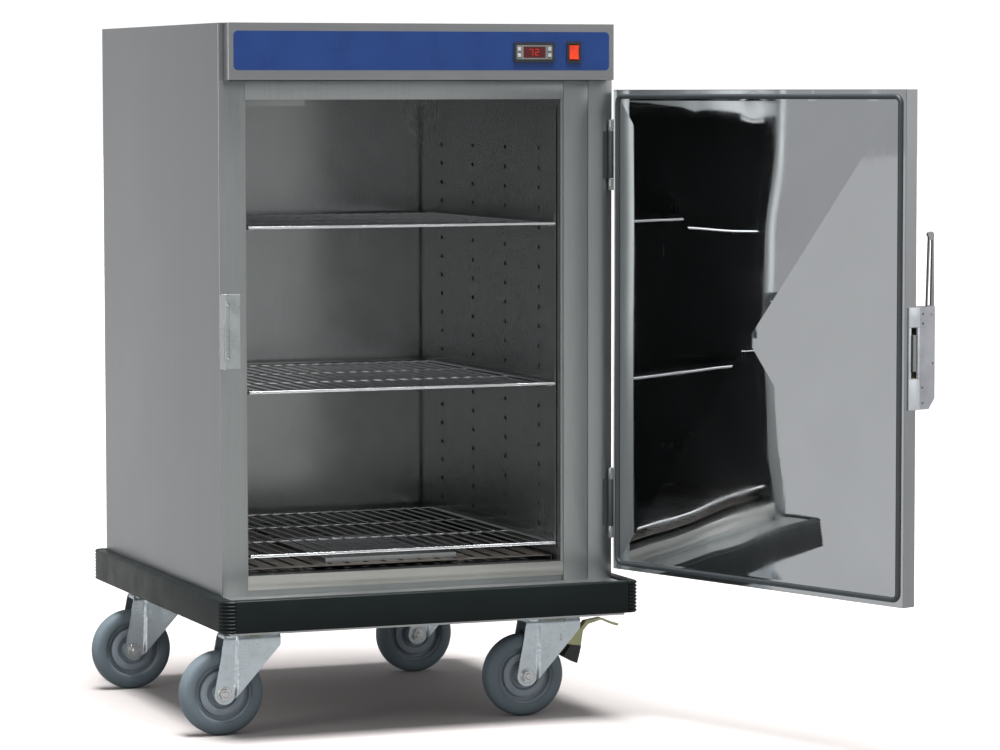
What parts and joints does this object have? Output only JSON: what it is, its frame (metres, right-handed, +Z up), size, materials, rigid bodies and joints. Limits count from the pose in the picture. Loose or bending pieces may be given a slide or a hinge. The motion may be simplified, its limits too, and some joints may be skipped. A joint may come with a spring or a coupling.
{
  "type": "food holding cabinet",
  "caption": "Mobile insulated hot holding cabinet with a hinged door, wire shelves on slotted racks, a lever latch, a control fascia, a bumpered base and swivel castors.",
  "frame": {"origin": "on the floor, under the middle of the carcass's footprint", "axes": "+Z up, -Y out of the door side, +X towards the hinges as seen from the front"},
  "size_m": [1.1015, 1.4661, 1.25],
  "materials": {
    "casing_steel": "satin",
    "polished_steel": "polished",
    "insulation_wool": "matte",
    "base_steel": "satin",
    "bumper_rubber": "matte",
    "overlay_blue": "satin",
    "black_plastic": "satin",
    "display_red": "gloss",
    "rocker_red": "gloss",
    "button_grey": "satin",
    "element_steel": "satin",
    "chrome_wire": "gloss",
    "gasket_rubber": "matte",
    "zinc_plate": "satin",
    "hub_plastic": "satin",
    "tyre_grey": "matte",
    "terminal_white": "satin"
  },
  "bodies": {
    "cabinet": {"left_side_panel": "casing_steel", "right_side_panel": "casing_steel", "back_panel": "casing_steel", "top_panel": "casing_steel", "front_frame": "casing_steel", "control_fascia": "casing_steel", "latch_keeper": "casing_steel", "cabinet_screws": "casing_steel", "cavity_liner": "polished_steel", "rack_left": "polished_steel", "rack_right": "polished_steel", "temperature_probe": "polished_steel", "hinge_frame_leaves": "polished_steel", "wall_insulation": "insulation_wool", "base_plate": "base_steel", "chassis_frame": "base_steel", "control_tray": "base_steel", "bumper_rails": "bumper_rubber", "bumper_corners": "bumper_rubber", "fascia_overlay": "overlay_blue", "controller_housing": "black_plastic", "rocker_bezel": "black_plastic", "mains_inlet": "black_plastic", "display_window": "display_red", "element_cover": "element_steel", "heating_element": "element_steel", "castor_plates": "zinc_plate", "terminal_block": "terminal_white"},
    "door": {"door_outer_pan": "casing_steel", "door_inner_panel": "polished_steel", "door_core": "insulation_wool", "door_gasket": "gasket_rubber", "latch_body": "casing_steel", "latch_bracket": "casing_steel", "hinge_door_leaves": "polished_steel"},
    "latch_lever": {"latch_lever": "polished_steel"},
    "latch_tongue": {"latch_tongue": "polished_steel"},
    "rocker": {"rocker_switch": "rocker_red"},
    "water_tray": {"water_tray": "polished_steel"},
    "button_1": {"controller_button_1": "button_grey"},
    "button_2": {"controller_button_2": "button_grey"},
    "button_3": {"controller_button_3": "button_grey"},
    "button_4": {"controller_button_4": "button_grey"},
    "shelf_bottom": {"shelf_bottom": "chrome_wire"},
    "shelf_middle": {"shelf_middle": "chrome_wire"},
    "shelf_top": {"shelf_top": "chrome_wire"},
    "swivel_front_left": {"fork_front_left": "zinc_plate"},
    "wheel_front_left": {"hub_front_left": "hub_plastic", "tyre_front_left": "tyre_grey"},
    "swivel_front_right": {"fork_front_right": "zinc_plate"},
    "wheel_front_right": {"hub_front_right": "hub_plastic", "tyre_front_right": "tyre_grey"},
    "swivel_back_left": {"fork_back_left": "zinc_plate"},
    "wheel_back_left": {"hub_back_left": "hub_plastic", "tyre_back_left": "tyre_grey"},
    "swivel_back_right": {"fork_back_right": "zinc_plate"},
    "wheel_back_right": {"hub_back_right": "hub_plastic", "tyre_back_right": "tyre_grey"},
    "brake": {"brake_pedal": "zinc_plate", "brake_pad": "black_plastic"}
  },
  "joints": [
    {"name": "door_hinge", "type": "hinge", "parent": "cabinet", "child": "door", "pos_m": [0.365, -0.381, 0.702], "axis": [0, 0, 1], "range_deg": [-109.1, 70.9]},
    {"name": "latch_lever_pivot", "type": "hinge", "parent": "door", "child": "latch_lever", "pos_m": [0.66035, -1.04596, 0.758], "axis": [-0.3272, 0.9449, 0], "range_deg": [0, 35], "stiffness_Nm_per_rad": 1, "springref_deg": -5.73},
    {"name": "latch_tongue_slide", "type": "slide", "parent": "door", "child": "latch_tongue", "axis": [-0.3272, 0.9449, 0], "range_m": [0, 0.006]},
    {"name": "rocker_tilt", "type": "hinge", "parent": "cabinet", "child": "rocker", "pos_m": [0.2825, -0.4016, 1.2], "axis": [1, 0, 0], "range_deg": [-7, 7]},
    {"name": "button_1_press", "type": "slide", "parent": "cabinet", "child": "button_1", "axis": [0, 1, 0], "range_m": [0, 0.0008], "stiffness_N_per_m": 400, "springref_m": -0.001},
    {"name": "button_2_press", "type": "slide", "parent": "cabinet", "child": "button_2", "axis": [0, 1, 0], "range_m": [0, 0.0008], "stiffness_N_per_m": 400, "springref_m": -0.001},
    {"name": "button_3_press", "type": "slide", "parent": "cabinet", "child": "button_3", "axis": [0, 1, 0], "range_m": [0, 0.0008], "stiffness_N_per_m": 400, "springref_m": -0.001},
    {"name": "button_4_press", "type": "slide", "parent": "cabinet", "child": "button_4", "axis": [0, 1, 0], "range_m": [0, 0.0008], "stiffness_N_per_m": 400, "springref_m": -0.001},
    {"name": "shelf_bottom_slide", "type": "slide", "parent": "cabinet", "child": "shelf_bottom", "axis": [0, -1, 0], "range_m": [0, 0.4]},
    {"name": "shelf_middle_slide", "type": "slide", "parent": "cabinet", "child": "shelf_middle", "axis": [0, -1, 0], "range_m": [0, 0.4]},
    {"name": "shelf_top_slide", "type": "slide", "parent": "cabinet", "child": "shelf_top", "axis": [0, -1, 0], "range_m": [0, 0.4]},
    {"name": "water_tray_slide", "type": "slide", "parent": "cabinet", "child": "water_tray", "axis": [0, -1, 0], "range_m": [0, 0.3]},
    {"name": "swivel_front_left", "type": "hinge", "parent": "cabinet", "child": "swivel_front_left", "pos_m": [-0.3, -0.319, 0.175], "axis": [0, 0, 1], "continuous": true},
    {"name": "swivel_front_right", "type": "hinge", "parent": "cabinet", "child": "swivel_front_right", "pos_m": [0.272, -0.319, 0.175], "axis": [0, 0, 1], "continuous": true},
    {"name": "swivel_back_left", "type": "hinge", "parent": "cabinet", "child": "swivel_back_left", "pos_m": [-0.3, 0.257, 0.175], "axis": [0, 0, 1], "continuous": true},
    {"name": "swivel_back_right", "type": "hinge", "parent": "cabinet", "child": "swivel_back_right", "pos_m": [0.272, 0.257, 0.175], "axis": [0, 0, 1], "continuous": true},
    {"name": "wheel_front_left_spin", "type": "hinge", "parent": "swivel_front_left", "child": "wheel_front_left", "pos_m": [-0.356, -0.319, 0.075], "axis": [0, 1, 0], "continuous": true},
    {"name": "wheel_front_right_spin", "type": "hinge", "parent": "swivel_front_right", "child": "wheel_front_right", "pos_m": [0.216, -0.319, 0.075], "axis": [0, 1, 0], "continuous": true},
    {"name": "wheel_back_left_spin", "type": "hinge", "parent": "swivel_back_left", "child": "wheel_back_left", "pos_m": [-0.356, 0.257, 0.075], "axis": [0, 1, 0], "continuous": true},
    {"name": "wheel_back_right_spin", "type": "hinge", "parent": "swivel_back_right", "child": "wheel_back_right", "pos_m": [0.216, 0.257, 0.075], "axis": [0, 1, 0], "continuous": true},
    {"name": "brake_press", "type": "hinge", "parent": "swivel_front_right", "child": "brake", "pos_m": [0.282, -0.319, 0.142], "axis": [0, 1, 0], "range_deg": [0, 8]}
  ],
  "couplings": [
    {"joint": "latch_tongue_slide", "follows": "latch_lever_pivot", "m_per_rad": 0.0098}
  ]
}
